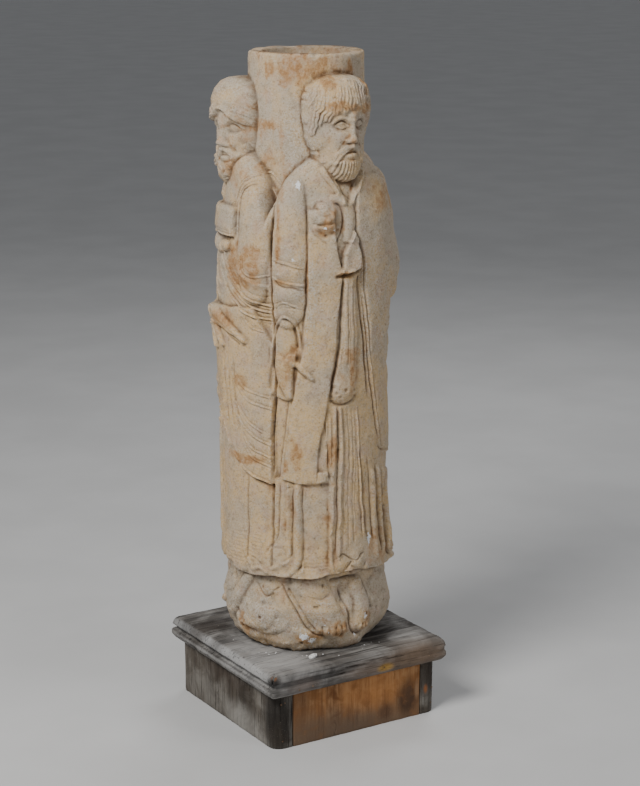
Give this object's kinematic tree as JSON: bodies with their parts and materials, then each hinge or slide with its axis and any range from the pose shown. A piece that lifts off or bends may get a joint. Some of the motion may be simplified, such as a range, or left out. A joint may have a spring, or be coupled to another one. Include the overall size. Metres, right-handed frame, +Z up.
{
  "type": "stone column",
  "caption": "Round stone column carved in high relief with bearded robed figures on a rocky base, standing on a moulded wooden plinth.",
  "frame": {"origin": "centre of the plinth's footprint, on the surface it stands on", "axes": "+Z up along the column, -Y towards the front figure and the brown front panel, +X to the right seen from the front"},
  "size_m": [0.409, 0.409, 1.3066],
  "materials": {
    "stone": "weathered matte limestone with rust stains",
    "grey_wood": "weathered grey",
    "brown_wood": "stained orange-brown"
  },
  "bodies": {
    "root": {"stone_column": "stone", "plinth_top": "grey_wood", "plinth_left_side": "grey_wood", "plinth_right_side": "grey_wood", "plinth_front_panel": "brown_wood", "plinth_back_panel": "grey_wood"}
  },
  "joints": []
}
